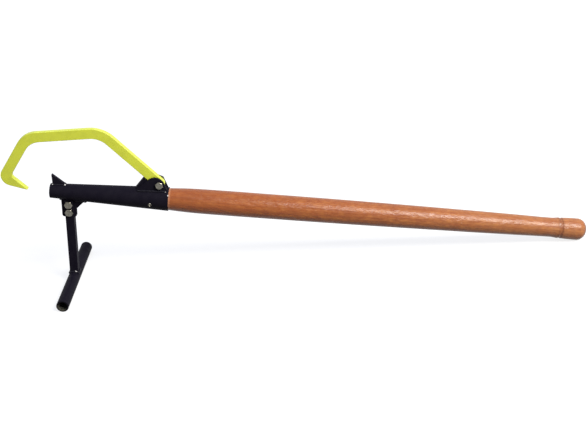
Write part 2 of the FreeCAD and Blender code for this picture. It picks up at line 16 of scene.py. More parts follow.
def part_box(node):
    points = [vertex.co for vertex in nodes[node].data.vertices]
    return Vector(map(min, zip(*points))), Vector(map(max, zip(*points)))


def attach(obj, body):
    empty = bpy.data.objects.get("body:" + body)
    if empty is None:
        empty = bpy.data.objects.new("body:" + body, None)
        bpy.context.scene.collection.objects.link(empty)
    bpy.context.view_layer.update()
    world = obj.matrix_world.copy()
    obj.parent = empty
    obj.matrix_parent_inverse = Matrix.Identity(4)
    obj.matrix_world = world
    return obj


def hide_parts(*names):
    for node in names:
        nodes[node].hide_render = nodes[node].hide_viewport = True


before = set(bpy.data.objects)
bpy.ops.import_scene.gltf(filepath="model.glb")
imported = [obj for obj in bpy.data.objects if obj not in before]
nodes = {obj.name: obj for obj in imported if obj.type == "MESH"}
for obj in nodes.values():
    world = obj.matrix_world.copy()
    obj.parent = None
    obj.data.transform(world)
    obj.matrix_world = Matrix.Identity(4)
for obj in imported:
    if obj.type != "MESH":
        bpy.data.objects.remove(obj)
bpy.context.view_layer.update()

# %% [markdown]
# ## Two rulers
# Everything was drawn on the lever's own ruler: millimetres along the socket from its front rim,
# across the tool, and up from the socket's axis. The stand has a second ruler that leans a little.
# The tool stands tilted on its foot and butt, so each ruler becomes one matrix, found from the places
# of a few CAD nodes instead of typed in.

# %% Find the lever's and the stand's places
MM = 0.001
RIVET_X = 220.4
STAND_X = 39.4
STAND_LEAN = math.radians(3.0)
FOOT_DEPTH = 211.0


def middle(node):
    low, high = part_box(node)
    return (low + high) / 2


stand_up_way = middle("upper_stand_washer") - middle("cross_tube")
tilt = math.atan2(stand_up_way.x, stand_up_way.z) + STAND_LEAN
tool_place = (Matrix.Translation(middle("handle_rivet")) @ Matrix.Rotation(tilt, 4, "Y")
              @ Matrix.Translation((-RIVET_X * MM, 0, 0)))
stand_place = (tool_place @ Matrix.Translation((STAND_X * MM, 0, 0))
               @ Matrix.Rotation(-STAND_LEAN, 4, "Y"))
foot_error = (stand_place @ Vector((0, 0, -FOOT_DEPTH * MM)) - middle("cross_tube")).length
print("tilt, degrees:", round(math.degrees(tilt), 3), "foot off by, mm:", round(foot_error / MM, 3))

# %% [markdown]
# ## Camera
# The photograph was taken from the lever's left side, a little above it and close enough for some
# perspective. The place is given on the lever's ruler, because it was found by matching the CAD's
# corners with the photograph's on that ruler. The sensor is as wide as a film frame.

# %% Camera
IMAGE_WIDTH = 588
FOCAL_PIXELS = 850
SENSOR_MM = 36.0
CAMERA_PLACE = (0.409862, -1.732571, 0.807958)      # metres on the lever's ruler
CAMERA_TURNS = (64.114, -5.470, -1.763)             # degrees about that ruler's X, Y and Z

camera_data = bpy.data.cameras.new("camera")
camera_data.sensor_width = SENSOR_MM
camera_data.lens = FOCAL_PIXELS * SENSOR_MM / IMAGE_WIDTH
camera = bpy.data.objects.new("camera", camera_data)
camera_way = Euler([math.radians(angle) for angle in CAMERA_TURNS]).to_matrix().to_4x4()
camera.matrix_world = tool_place @ Matrix.Translation(CAMERA_PLACE) @ camera_way
bpy.context.scene.collection.objects.link(camera)
bpy.context.scene.camera = camera
print("lens, mm:", round(camera_data.lens, 2))

# %% [markdown]
# ## Colours and nodes
# Paint and stain are matched in sRGB, the scale that screens use, but the renderer adds up
# light on a linear scale. One function turns a hex value into that scale. Another adds a shader node
# with its settings and links in one line, so each material reads as a short recipe. Two kinds of node
# come back all the time. MapRange stretches the values from input 1 to input 2 over 0 to 1, or over
# inputs 3 to 4, and cuts off what is outside. Mix goes from the colour in input 6 to the one in 7.

# %% Colour and node helpers
def from_hex(text):
    """Linear RGBA of an sRGB hex value."""
    values = [int(text[i:i + 2], 16) / 255 for i in (1, 3, 5)]
    return [v / 12.92 if v <= 0.04045 else ((v + 0.055) / 1.055) ** 2.4 for v in values] + [1]


def add_node(tree, kind, inputs=None, **settings):
    """Adds a shader node. An input is given a value or a hex colour, or is linked to a socket, or to
    the first enabled output of a node."""
    node = tree.nodes.new("ShaderNode" + kind)
    for name, value in settings.items():
        setattr(node, name, value)
    for name, value in (inputs or {}).items():
        if isinstance(value, bpy.types.Node):
            value = next(output for output in value.outputs if output.enabled)
        if isinstance(value, bpy.types.NodeSocket):
            tree.links.new(value, node.inputs[name])
        else:
            node.inputs[name].default_value = from_hex(value) if isinstance(value, str) else value
    return node


def new_material(name):
    """Material without nodes yet, and its node tree."""
    material = bpy.data.materials.new(name)
    material.use_nodes = True
    material.node_tree.nodes.clear()
    print("material:", name)
    return material, material.node_tree


def on_lever(tree):
    """Place on the lever's ruler, in metres: X runs along the handle from the socket's front rim."""
    place = add_node(tree, "TexCoord").outputs["Object"]
    ruler = tool_place.inverted()
    return add_node(tree, "Mapping", {"Vector": place, "Location": ruler.translation,
                                      "Rotation": ruler.to_euler()})


def pattern(tree, size_mm, detail=2.0, along=1.0):
    """Noise whose blotches are size_mm across, and along times as long in the lever's direction."""
    stretched = add_node(tree, "Mapping", {"Vector": on_lever(tree), "Scale": (1 / along, 1, 1)})
    return add_node(tree, "TexNoise",
                    {"Vector": stretched, "Scale": 1 / (size_mm * MM), "Detail": detail})


print("mid grey:", [round(v, 3) for v in from_hex("#808080")])

# %% [markdown]
# ## Black satin powder coat on steel
# The socket, tooth, ears and stand are welded mild steel, sprayed with a dry polyester powder and
# baked. The powder melts to an even skin about 0.08 mm thick, satin rather than glossy, with a faint
# orange peel. It is thinner on sharp edges, which rub grey first. A rubbed edge is found with a bevel
# node: where a rounded-off copy of the surface would face another way, there is an edge.

# %% Powder coat recipe
PEEL_MM = 3.0          # real orange peel is 1 to 3 mm from crest to crest
PEEL_DEEP_MM = 0.1
DUST_MM = 14.0         # uneven handling marks
SHEEN_MM = 9.0         # patches that are a little duller or glossier
EDGE_MM = 0.8          # how far in from an edge the rubbing reaches
RUBBED_MM = 6.0        # the rubbing comes and goes along an edge


def edge_share(tree, reach_mm):
    """About 1 along sharp edges and 0 on open faces."""
    rounded = add_node(tree, "Bevel", {"Radius": reach_mm * MM}, samples=4)
    true = add_node(tree, "NewGeometry").outputs["Normal"]
    agree = add_node(tree, "VectorMath", {0: rounded, 1: true}, operation="DOT_PRODUCT")
    return add_node(tree, "MapRange", {0: agree, 1: 0.99, 2: 0.85})


def powder_coat(name, colour, dusty, rubbed, roughness, gloss, peel):
    """Baked powder coat: base, handled and rubbed colours, roughness, specular level, bump."""
    material, tree = new_material(name)
    dust = add_node(tree, "MapRange", {0: pattern(tree, DUST_MM, 5), 1: 0.42, 2: 0.72})
    body = add_node(tree, "Mix", {0: dust, 6: colour, 7: dusty}, data_type="RGBA")
    patches = add_node(tree, "MapRange", {0: pattern(tree, RUBBED_MM, 6), 1: 0.45, 2: 0.62})
    wear = add_node(tree, "Math", {0: edge_share(tree, EDGE_MM), 1: patches}, operation="MULTIPLY")
    body = add_node(tree, "Mix", {0: wear, 6: body, 7: rubbed}, data_type="RGBA")
    bumps = add_node(tree, "Bump", {"Height": pattern(tree, PEEL_MM, 2), "Strength": peel,
                                    "Distance": PEEL_DEEP_MM * MM})
    rough = add_node(tree, "MapRange", {0: pattern(tree, SHEEN_MM, 4), 1: 0.3, 2: 0.7,
                                        3: roughness - 0.06, 4: roughness + 0.06})
    surface = add_node(tree, "BsdfPrincipled", {"Base Color": body, "Roughness": rough, "Normal": bumps,
                                                "IOR": 1.5, "Specular IOR Level": gloss})
    add_node(tree, "OutputMaterial", {0: surface})
    return material


BLACK_COAT = ("#14121B", "#19171F", "#2A292F", 0.50, 0.02, 0.35)
black_powder_coat = powder_coat("black_satin_powder_coat", *BLACK_COAT)

# %% [markdown]
# ## Inside the cross tube
# Powder is drawn to the steel by electric charge, and hardly any gets into a narrow pipe. So the open
# foot tube is black outside, and grey with a thin dusting of powder inside. That grey is partly the bare
# steel and partly painted light, standing in for the light that reaches into the bore. The coat is the
# same recipe, given a mask: anything nearer the tube's axis than its wall gets the grey.

# %% Cross tube coat
BORE_EDGE_MM = 11.3
POWDER_FADE_MM = 0.6
BORE_DUST_MM = 5.0


def bare_bore_with_painted_light(material, axis_x, axis_z, painted_light):
    """Mixes a grey into a coat inside a pipe that runs along Y: bare steel, lightened as painted light.
    """
    tree = material.node_tree
    place = add_node(tree, "TexCoord").outputs["Object"]
    from_axis = add_node(tree, "VectorMath", {0: place, 1: (axis_x, 0, axis_z)}, operation="SUBTRACT")
    across = add_node(tree, "VectorMath", {0: from_axis, 1: (1, 0, 1)}, operation="MULTIPLY")
    radius = add_node(tree, "VectorMath", {0: across}, operation="LENGTH")
    inside = add_node(tree, "MapRange", {0: radius, 1: BORE_EDGE_MM * MM,
                                         2: (BORE_EDGE_MM - POWDER_FADE_MM) * MM})
    surface = tree.nodes["Principled BSDF"]
    coat = surface.inputs["Base Color"].links[0].from_socket
    dusting = add_node(tree, "MapRange", {0: pattern(tree, BORE_DUST_MM, 5), 1: 0.35, 2: 0.7})
    bore_steel_and_painted_light = add_node(tree, "Mix", {0: dusting, 6: painted_light, 7: coat}, data_type="RGBA")
    both = add_node(tree, "Mix", {0: inside, 6: coat, 7: bore_steel_and_painted_light}, data_type="RGBA")
    tree.links.new(both.outputs[2], surface.inputs["Base Color"])


tube_axis = middle("cross_tube")
cross_tube_coat = powder_coat("black_powder_coat_bore_painted_light", *BLACK_COAT)
# grey inside the bore: bare steel, painted lighter to stand in for light reaching in
bare_bore_with_painted_light(cross_tube_coat, tube_axis.x, tube_axis.z, "#4A493F")

# %% [markdown]
# ## Yellow-green powder coat
# The hook gets a fluorescent safety colour so that it is found in leaves and sawdust. The powder is
# the same kind as the black one, but light colours scatter light inside the skin, so the faces read
# flat and even and the sheen shows only on the top edges. Rubbed edges go a little darker and duller.

# %% Hook coat
yellow_green_powder_coat = powder_coat("yellow_green_powder_coat", "#C5CD34", "#BAC230", "#ABAF3C",
                                       0.40, 0.70, 0.25)

# %% [markdown]
# ## Welds under the coat
# The welds were sprayed with the rest, but a weld bead is lumpy, so the powder melts thicker and
# glossier on it. Small painted glints sit at the ends of the beads and on the socket's sharp rear rim:
# spots of bright grey painted into the coat's colour, standing in for highlights. Each glint is a place
# on the lever's ruler with a reach, and the bright grey is mixed into the coat around it.

# %% Weld coat
# painted glints: bright grey spots painted where highlights fall on the weld ends and the socket's rear
# rim
PAINTED_GLINT_GREY = "#C4C3C0"
GLINT_CORE = 0.6             # share of a glint's reach that is painted at full strength
WELD_GLINTS = [((33.5, -5.5, 18.5), 2.6), ((5.7, -5.2, 17.0), 1.7), ((253.2, -15.0, 22.8), 2.0),
              ((55.2, -9.8, -194.8), 3.0)]
RIM_GLINTS = [((259.4, -20.4, 17.6), 1.9)]


def paint_glints(material, glints):
    """Mixes painted glints, bright grey, into a coat within the reach of each one."""
    tree = material.node_tree
    painted_light = 0.0
    for centre, reach in glints:
        away = add_node(tree, "VectorMath", {0: on_lever(tree), 1: Vector(centre) * MM},
                        operation="DISTANCE")
        near = add_node(tree, "MapRange", {0: away, 1: reach * MM, 2: GLINT_CORE * reach * MM})
        painted_light = add_node(tree, "Math", {0: painted_light, 1: near}, operation="MAXIMUM")
    surface = tree.nodes["Principled BSDF"]
    coat = surface.inputs["Base Color"].links[0].from_socket
    glinted = add_node(tree, "Mix", {0: painted_light, 6: coat, 7: PAINTED_GLINT_GREY}, data_type="RGBA")
    tree.links.new(glinted.outputs[2], surface.inputs["Base Color"])


weld_powder_coat = powder_coat("black_powder_coat_on_weld", "#14131C", "#1A1920", "#2D2C31",
                               0.34, 0.08, 0.5)
# paints those glints into the weld coat, and on the rear rim into the black coat
paint_glints(weld_powder_coat, WELD_GLINTS)
paint_glints(black_powder_coat, RIM_GLINTS)

# %% [markdown]
# ## Zinc plated steel
# Bolts, nuts, washers and the rivet are electroplated: a 0.01 mm skin of zinc with a clear chromate.
# It is a metal, so its colour is in its reflection: grey with a faint warm cast, clouded by patches
# where the plating is duller, with fine tool marks from forming. Its metal keeps the default IOR.

# %% Zinc plate
CLOUD_MM, DULL_SPOT_MM, TOOL_MARK_MM = 3.5, 2.0, 0.9
TOOL_MARK_DEEP_MM = 0.05

zinc_plated_steel, tree = new_material("zinc_plated_steel")
clouds = add_node(tree, "MapRange", {0: pattern(tree, CLOUD_MM, 5), 1: 0.38, 2: 0.66})
zinc = add_node(tree, "Mix", {0: clouds, 6: "#75726A", 7: "#5B594F"}, data_type="RGBA")
zinc_rough = add_node(tree, "MapRange", {0: pattern(tree, DULL_SPOT_MM, 4), 1: 0.3, 2: 0.7,
                                         3: 0.18, 4: 0.36})
marks = add_node(tree, "Bump", {"Height": pattern(tree, TOOL_MARK_MM, 3), "Strength": 0.25,
                                "Distance": TOOL_MARK_DEEP_MM * MM})
zinc_surface = add_node(tree, "BsdfPrincipled", {"Base Color": zinc, "Metallic": 1.0,
                                                 "Roughness": zinc_rough, "Normal": marks})
add_node(tree, "OutputMaterial", {0: zinc_surface})

# %% [markdown]
# ## Natural nylon
# The ring in the lock nut is pale nylon. It is slightly see-through, which softens its shading, and
# the thread has pressed a few marks into it.

# %% Nylon
MOTTLE_MM = 2.0
GLOW_DEEP_MM = 0.5          # how far light wanders inside the nylon

natural_nylon, tree = new_material("natural_nylon")
mottle = add_node(tree, "MapRange", {0: pattern(tree, MOTTLE_MM, 3), 1: 0.4, 2: 0.7})
nylon = add_node(tree, "Mix", {0: mottle, 6: "#E3E1D6", 7: "#CFCCBD"}, data_type="RGBA")
nylon_surface = add_node(tree, "BsdfPrincipled",
                         {"Base Color": nylon, "Roughness": 0.42, "IOR": 1.53,
                          "Subsurface Weight": 0.15, "Subsurface Scale": GLOW_DEEP_MM * MM})
add_node(tree, "OutputMaterial", {0: nylon_surface})

# %% [markdown]
# ## Stained and varnished hardwood
# The handle is turned from straight-grained hardwood, stained reddish brown and varnished. What the
# eye sees, from large to small, is slow changes of tone along the lever, darker ribbons where the fibres
# change direction, golden flakes, long streaks where growth rings meet the surface at a low angle, and
# short dark pores along the grain. Ribbons and flakes are weaker near the socket, and the stain is paler
# towards the butt. The patterns run through the solid, as in real wood. A real pore is 0.2 mm wide.
# These are drawn at 1.1 mm, because finer ones would vanish at the size of the photograph.

# %% Wood
TONE_MM, TONE_ALONG = 16.0, 9.0             # width of each pattern, and its length as a share of that
RIBBON_MM, RIBBON_ALONG = 24.0, 1.2
FLAKE_MM, FLAKE_ALONG = 8.0, 1.7
STREAK_MM, STREAK_ALONG = 3.2, 38.0
PORE_MM, PORE_ALONG = 1.1, 9.0
PALER_FROM, PALER_TO = 0.50, 1.15           # metres from the socket's front rim
FIGURE_FROM, FIGURE_TO = 0.30, 0.55

varnished_hardwood, tree = new_material("stained_varnished_hardwood")
along = add_node(tree, "SeparateXYZ", {0: on_lever(tree)}).outputs[0]
tone = add_node(tree, "MapRange", {0: pattern(tree, TONE_MM, 3, TONE_ALONG), 1: 0.32, 2: 0.68})
wood = add_node(tree, "Mix", {0: tone, 6: "#85461D", 7: "#965329"}, data_type="RGBA")
paler = add_node(tree, "MapRange", {0: along, 1: PALER_FROM, 2: PALER_TO, 4: 0.75})
wood = add_node(tree, "Mix", {0: paler, 6: wood, 7: "#966A46"}, data_type="RGBA")

figure = add_node(tree, "MapRange", {0: along, 1: FIGURE_FROM, 2: FIGURE_TO, 3: 0.16, 4: 0.45})
flakes = add_node(tree, "MapRange", {0: pattern(tree, FLAKE_MM, 3, FLAKE_ALONG), 1: 0.40, 2: 0.66})
flakes_seen = add_node(tree, "MapRange", {0: flakes, 4: figure})
wood = add_node(tree, "Mix", {0: flakes_seen, 6: wood, 7: "#AE733C"}, data_type="RGBA")
ribbons = add_node(tree, "MapRange", {0: pattern(tree, RIBBON_MM, 2, RIBBON_ALONG),
                                      1: 0.46, 2: 0.68, 4: figure})
wood = add_node(tree, "Mix", {0: ribbons, 6: wood, 7: "#7D4424"}, data_type="RGBA")

streaks = add_node(tree, "MapRange", {0: pattern(tree, STREAK_MM, 4, STREAK_ALONG), 1: 0.36, 2: 0.66})
streaked = add_node(tree, "Mix", {0: 0.6, 6: wood, 7: "#7A3D22"}, data_type="RGBA")
wood = add_node(tree, "Mix", {0: streaks, 6: wood, 7: streaked}, data_type="RGBA")
pores = add_node(tree, "MapRange", {0: pattern(tree, PORE_MM, 1.5, PORE_ALONG), 1: 0.60, 2: 0.70})
pores_seen = add_node(tree, "Math", {0: pores, 1: 0.55}, operation="MULTIPLY")
wood = add_node(tree, "Mix", {0: pores_seen, 6: wood, 7: "#6B3219"}, data_type="RGBA")
print("wood nodes so far:", len(tree.nodes))

# %% [markdown]
# The wood is darker in a ring around the turned groove, centred a little towards the socket. The butt's
# end is darker too: its end grain drinks more stain, and painted shade darkens the butt's rounded edge.
# Where the wood enters the socket, the driving scraped its varnish off, so a pale ring a few millimetres
# wide follows the rim.

# %% Groove, butt and rim
SOCKET_LENGTH = 260.0
GROOVE_X = 1154.0
OVERALL_LENGTH = 1215.0
DARK_RING_X, DARK_RING_HALF = GROOVE_X - 2.0, 8.0           # the darker ring is centred a little towards the socket
SCRAPED_X, SCRAPED_HALF = SOCKET_LENGTH + 1.0, 3.6
END_GRAIN_AND_SHADE_FROM, END_GRAIN_AND_SHADE_TO = OVERALL_LENGTH - 11.0, OVERALL_LENGTH - 2.5
RING_CORE = 0.4                                     # share of a ring's half width at full strength


def ring_share(centre_mm, half_width_mm, strength):
    """That strength on a ring of the handle at that distance from the front rim, 0 away from it."""
    away = add_node(tree, "Math", {0: along, 1: centre_mm * MM}, operation="SUBTRACT")
    away = add_node(tree, "Math", {0: away}, operation="ABSOLUTE")
    return add_node(tree, "MapRange", {0: away, 1: half_width_mm * MM,
                                       2: RING_CORE * half_width_mm * MM, 4: strength})


# a darker ring around the turned groove
dark_ring = ring_share(DARK_RING_X, DARK_RING_HALF, 0.42)
wood = add_node(tree, "Mix", {0: dark_ring, 6: wood, 7: "#5A2A16"}, data_type="RGBA")
# darker butt end: end grain taking more stain, and painted shade on the butt's rounded edge
end_grain_and_shade = add_node(tree, "MapRange", {0: along, 1: END_GRAIN_AND_SHADE_FROM * MM, 2: END_GRAIN_AND_SHADE_TO * MM, 4: 0.8})
wood = add_node(tree, "Mix", {0: end_grain_and_shade, 6: wood, 7: "#4A2414"}, data_type="RGBA")
scraped = ring_share(SCRAPED_X, SCRAPED_HALF, 0.22)
wood = add_node(tree, "Mix", {0: scraped, 6: wood, 7: "#D8AE90"}, data_type="RGBA")
print("stain in the groove, mm wide:", 2 * DARK_RING_HALF)

# %% [markdown]
# The brushed varnish follows what is under it: dents over the pores, low streaks where sanding took
# the softer wood, and shallow waves that break the long highlight into flakes. Real waves are about
# 0.1 mm deep. These are deeper, so that they show.

# %% Varnish
WAVE_MM, WAVE_ALONG = 5.0, 2.8
PORE_DEEP_MM, WAVE_DEEP_MM, STREAK_DEEP_MM = 0.15, 1.2, 0.12

dents = add_node(tree, "Bump", {"Height": pores, "Strength": 0.5, "Distance": -PORE_DEEP_MM * MM})
waves = add_node(tree, "Bump", {"Height": pattern(tree, WAVE_MM, 3, WAVE_ALONG), "Strength": 1.0,
                                "Distance": WAVE_DEEP_MM * MM, "Normal": dents})
ripples = add_node(tree, "Bump", {"Height": streaks, "Strength": 0.3, "Distance": STREAK_DEEP_MM * MM,
                                  "Normal": waves})
gloss = add_node(tree, "MapRange", {0: flakes, 3: 0.27, 4: 0.37})
wood_surface = add_node(tree, "BsdfPrincipled", {"Base Color": wood, "Roughness": gloss, "IOR": 1.5,
                                                 "Specular IOR Level": 0.25, "Normal": ripples})
add_node(tree, "OutputMaterial", {0: wood_surface})
print("wood nodes:", len(tree.nodes))

# %% [markdown]
# ## Dressing the CAD's plates and tubes
# Socket, tooth, ears, stop, hook, tab, upright and cross tube have their true outlines, thicknesses
# and rounded edges from the CAD, so they keep their shapes and only get their coat.

# %% Coat the CAD nodes
def dress(node, material):
    nodes[node].data.materials.clear()
    nodes[node].data.materials.append(material)


for node in ("socket", "tooth", "near_ear", "far_ear", "hook_stop", "stand_tab", "upright"):
    dress(node, black_powder_coat)
dress("cross_tube", cross_tube_coat)
dress("hook", yellow_green_powder_coat)
print("hook faces:", len(nodes["hook"].data.polygons))

# %% [markdown]
# ## Making a new piece
# The remade parts are built in millimetres on one of the rulers, as rows of points joined by
# four-sided faces.

# %% Mesh helpers
def joined_rows(rows, around=True, closed=False):
    """Mesh of rows of points: around joins each row's ends, closed joins the last row to the first.
    A row of one point makes a pole."""
    bm = bmesh.new()
    made = [[bm.verts.new(point) for point in row] for row in rows]
    pairs = list(zip(made, made[1:]))
    if closed:
        pairs.append((made[-1], made[0]))
    for first, second in pairs:
        count = max(len(first), len(second))
        for k in range(count if around else count - 1):
            corners = []
            for row, step in ((first, k), (first, k + 1), (second, k + 1), (second, k)):
                corner = row[step % len(row)]
                if corner not in corners:
                    corners.append(corner)
            bm.faces.new(corners)
    bmesh.ops.recalc_face_normals(bm, faces=bm.faces)
    return bm


def new_piece(name, bm, place, material, node, sharp_deg):
    """Object on a ruler from a mesh in millimetres; it stands for a CAD node of the lever.
    Edges sharper than sharp_deg stay sharp, and the rest is shaded smooth."""
    bmesh.ops.transform(bm, matrix=place @ Matrix.Scale(MM, 4), verts=bm.verts)
    mesh = bpy.data.meshes.new(name)
    bm.to_mesh(mesh)
    bm.free()
    mesh.shade_smooth()
    mesh.set_sharp_from_angle(angle=math.radians(sharp_deg))
    mesh.materials.append(material)
    piece = bpy.data.objects.new(name, mesh)
    bpy.context.scene.collection.objects.link(piece)
    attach(piece, "lever")
    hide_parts(node)
    print("piece:", name, "faces:", len(mesh.polygons))


# %% [markdown]
# ## Handle
# A handle like this is turned between centres with a template: a tapered tenon for the socket, a
# swell where the wood works hardest, a waist for the hand, and a knob with a ring groove that keeps
# the hand on. A long profile of distances and radii is spun about the axis. The lathe leaves the
# surface a tenth of a millimetre uneven, which a slow noise copies.

# %% Handle profile
TENON = [(3.0, 14.32), (SOCKET_LENGTH, 24.6)]                  # (distance, radius) of its two ends
WAIST_X, WAIST_R, SWELL_R = 1133.0, 22.3, 27.9
SWELL_SHARES = [(0.048, 0.82), (0.104, 0.97), (0.217, 1.00), (0.387, 0.98),
                (0.590, 0.79), (0.777, 0.51), (0.904, 0.24)]   # (way from rim to waist, share of swell)
SHOULDER_X, SHOULDER_R = 1148.0, 23.8
GROOVE_HALF, GROOVE_DEPTH = 3.0, 1.3
CROWN_X, KNOB_R, BUTT_ROUND = 1195.0, 25.0, 20.0
KNOB_BOW = 0.35


def smooth_curve(points, x):
    """Radius at x on a smooth curve through the points, level wherever it turns and at its far end."""
    slopes = [(b[1] - a[1]) / (b[0] - a[0]) for a, b in zip(points, points[1:])]
    ends = [slopes[0]]
    for (a, b), left, right in zip(zip(points, points[2:]), slopes, slopes[1:]):
        ends.append((b[1] - a[1]) / (b[0] - a[0]) if left * right > 0 else 0.0)
    ends.append(0.0)
    for k in range(len(points) - 1):
        (x0, r0), (x1, r1) = points[k], points[k + 1]
        if x <= x1:
            t, run = (x - x0) / (x1 - x0), x1 - x0
            return (r0 * (1 + 2 * t) * (1 - t) ** 2 + ends[k] * run * t * (1 - t) ** 2
                    + r1 * t * t * (3 - 2 * t) - ends[k + 1] * run * t * t * (1 - t))
    return points[-1][1]


swell_points = [TENON[1]]
for share, swell in SWELL_SHARES:
    swell_points.append((SOCKET_LENGTH + share * (WAIST_X - SOCKET_LENGTH),
                         WAIST_R + swell * (SWELL_R - WAIST_R)))
swell_points.append((WAIST_X, WAIST_R))


def handle_radius(x):
    """Radius of the handle at x, from the socket's rear rim to the butt's rounding."""
    if x <= WAIST_X:
        return smooth_curve(swell_points, x)
    if x <= SHOULDER_X:
        rise, run = SHOULDER_R - WAIST_R, SHOULDER_X - WAIST_X
        cove = (run ** 2 + rise ** 2) / (2 * rise)
        return WAIST_R + cove - math.sqrt(cove ** 2 - (x - WAIST_X) ** 2)
    if abs(x - GROOVE_X) <= GROOVE_HALF:
        round_r = (GROOVE_HALF ** 2 + GROOVE_DEPTH ** 2) / (2 * GROOVE_DEPTH)
        return SHOULDER_R - GROOVE_DEPTH + round_r - math.sqrt(round_r ** 2 - (x - GROOVE_X) ** 2)
    if x < GROOVE_X:
        return SHOULDER_R
    start = GROOVE_X + GROOVE_HALF
    share = (x - start) / (CROWN_X - start)
    return SHOULDER_R + share * (KNOB_R - SHOULDER_R) + 4 * KNOB_BOW * share * (1 - share)


print("handle across its knob, mm:", 2 * handle_radius(CROWN_X))

# %% [markdown]
# The profile is dense where the eye finds edges (shoulder, groove and butt) and open along the swell.

# %% Handle stations
TENON_FRONT_RADII = (4.0, 9.0, 12.9)        # rings on the tenon's flat front face
TENON_ROUND, TENON_GROWS = 1.0, 0.04        # its front edge is rounded off over this length
TENON_STATIONS = range(16, 258, 12)
RUNS = [(SOCKET_LENGTH, 4.0, 219), (WAIST_X, 1.5, 11), (SHOULDER_X + 0.5, 0.5, 24),
        (CROWN_X - 33, 3.0, 12)]            # (start, step, number of stations)
DOME_STEPS = 18
BUTT_CENTRE_R = 2.5
BUTT_SHY = 0.03             # the butt's dome ends this far short of the CAD's, so the tool never grows

(tenon_start, tenon_r), (tenon_end, tenon_end_r) = TENON
tenon_slope = (tenon_end_r - tenon_r) / (tenon_end - tenon_start)
profile = [(tenon_start, r) for r in TENON_FRONT_RADII]
profile.append((tenon_start + TENON_ROUND, tenon_r + TENON_GROWS))
profile += [(x, tenon_r + tenon_slope * (x - tenon_start)) for x in TENON_STATIONS]
stations = {start + step * k for start, step, count in RUNS for k in range(count)}
profile += [(x, handle_radius(x)) for x in sorted(stations)]
for k in range(1, DOME_STEPS + 1):
    turn = math.radians(90 * k / DOME_STEPS)
    profile.append((CROWN_X + (BUTT_ROUND - BUTT_SHY) * math.sin(turn),
                    KNOB_R - BUTT_ROUND * (1 - math.cos(turn))))
profile.append((OVERALL_LENGTH - BUTT_SHY, BUTT_CENTRE_R))
print("handle stations:", len(profile))

# %% Spin the handle
HANDLE_SIDES = 96
TURNING_MARK_MM = 0.12
MARK_LENGTH_MM = 60
MARKS_AROUND = 1.5

handle_rows = [[Vector((tenon_start, 0, 0))]]
for x, r in profile:
    row = []
    for k in range(HANDLE_SIDES):
        turn = math.tau * k / HANDLE_SIDES
        lump = noise.noise(Vector((x / MARK_LENGTH_MM, MARKS_AROUND * math.cos(turn),
                                   MARKS_AROUND * math.sin(turn))))
        uneven = r - TURNING_MARK_MM * abs(lump)
        row.append(Vector((x, uneven * math.cos(turn), uneven * math.sin(turn))))
    handle_rows.append(row)
handle_rows.append([Vector((OVERALL_LENGTH - BUTT_SHY, 0, 0))])
new_piece("turned_handle", joined_rows(handle_rows), tool_place, varnished_hardwood,
          "handle", 40)

# %% [markdown]
# The CAD's handle has the same profile, so every one of its corners should lie on the new one. The
# largest difference in radius is printed.

# %% Check the handle against the CAD
to_tool = tool_place.inverted()
worst = 0.0
for vertex in nodes["handle"].data.vertices:
    x, y, z = (to_tool @ vertex.co) / MM
    if SOCKET_LENGTH < x < CROWN_X:
        worst = max(worst, abs(math.hypot(y, z) - handle_radius(x)))
print("handle differs from the CAD by at most, mm:", round(worst, 3))

# %% [markdown]
# ## Fasteners
# Hex bolts are forged and their threads rolled. The top of a head is turned to a cone of 30 degrees,
# which cuts the six corners to curved edges, and that is the shape that tells the eye it is a real
# bolt. A head is drawn as rings of points: each ring knows the hexagon's radius at its angle, and the
# cone's height follows from it. Everything is spun about Y, with heads towards -Y and nuts on +Y.

# %% Ring helper
SIDES = 96              # a multiple of six, so that a point falls on each corner


def ring(along, radius, start_deg):
    """Ring of points about Y: radius and along are numbers, or functions of the angle."""
    points = []
    for k in range(SIDES):
        turn = math.tau * k / SIDES
        r = radius(turn) if callable(radius) else radius
        y = along(turn) if callable(along) else along
        points.append(Vector((r * math.cos(turn + math.radians(start_deg)), y,
                              r * math.sin(turn + math.radians(start_deg)))))
    return points


print("angle between points, degrees:", 360 / SIDES)

# %% Hexagon helper
FLATS = 16.0            # across flats, for a 10 mm bolt
WORN_CORNER = 0.985     # corners are worn back to this share of the sharp hexagon's
CONE_SLOPE = math.tan(math.radians(30))
HEX_EDGE = 1.0          # rounding where the cone meets the flats
RIM_SHARE = 0.87        # the cone starts at this share of the flats
RIM_STEP, RIM_DROP = 0.3, 0.06


def hex_radius(turn):
    """Radius of the hexagon at an angle from one of its corners."""
    within = (math.degrees(turn) % 60) - 30
    return min(FLATS / 2 / math.cos(math.radians(within)), WORN_CORNER * FLATS / math.sqrt(3))


def hex_rings(top, foot, start_deg, foot_cone=False):
    """Rings of a hexagon from the turned cone at top to its foot, which may have a cone too."""
    rim = RIM_SHARE * FLATS / 2
    down = 1 if foot > top else -1

    def cone(turn):
        return CONE_SLOPE * (hex_radius(turn) - HEX_EDGE - rim) + RIM_DROP

    rings = [ring(top, rim - RIM_STEP, start_deg), ring(top + RIM_DROP * down, rim, start_deg)]
    for inset, extra in ((HEX_EDGE, 0.0), (0.0, HEX_EDGE)):
        rings.append(ring(lambda a: top + down * (cone(a) + extra),
                          lambda a: hex_radius(a) - inset, start_deg))
    if foot_cone:
        for inset, extra in ((0.0, HEX_EDGE), (HEX_EDGE, 0.0)):
            rings.append(ring(lambda a: foot - down * (cone(a) + extra),
                              lambda a: hex_radius(a) - inset, start_deg))
        rings += [ring(foot - RIM_DROP * down, rim, start_deg), ring(foot, rim - RIM_STEP, start_deg)]
    else:
        rings += [ring(foot - HEX_EDGE * down, hex_radius, start_deg),
                  ring(foot, lambda a: hex_radius(a) - HEX_EDGE, start_deg)]
    return rings


print("across the corners, mm:", round(2 * hex_radius(0), 2))

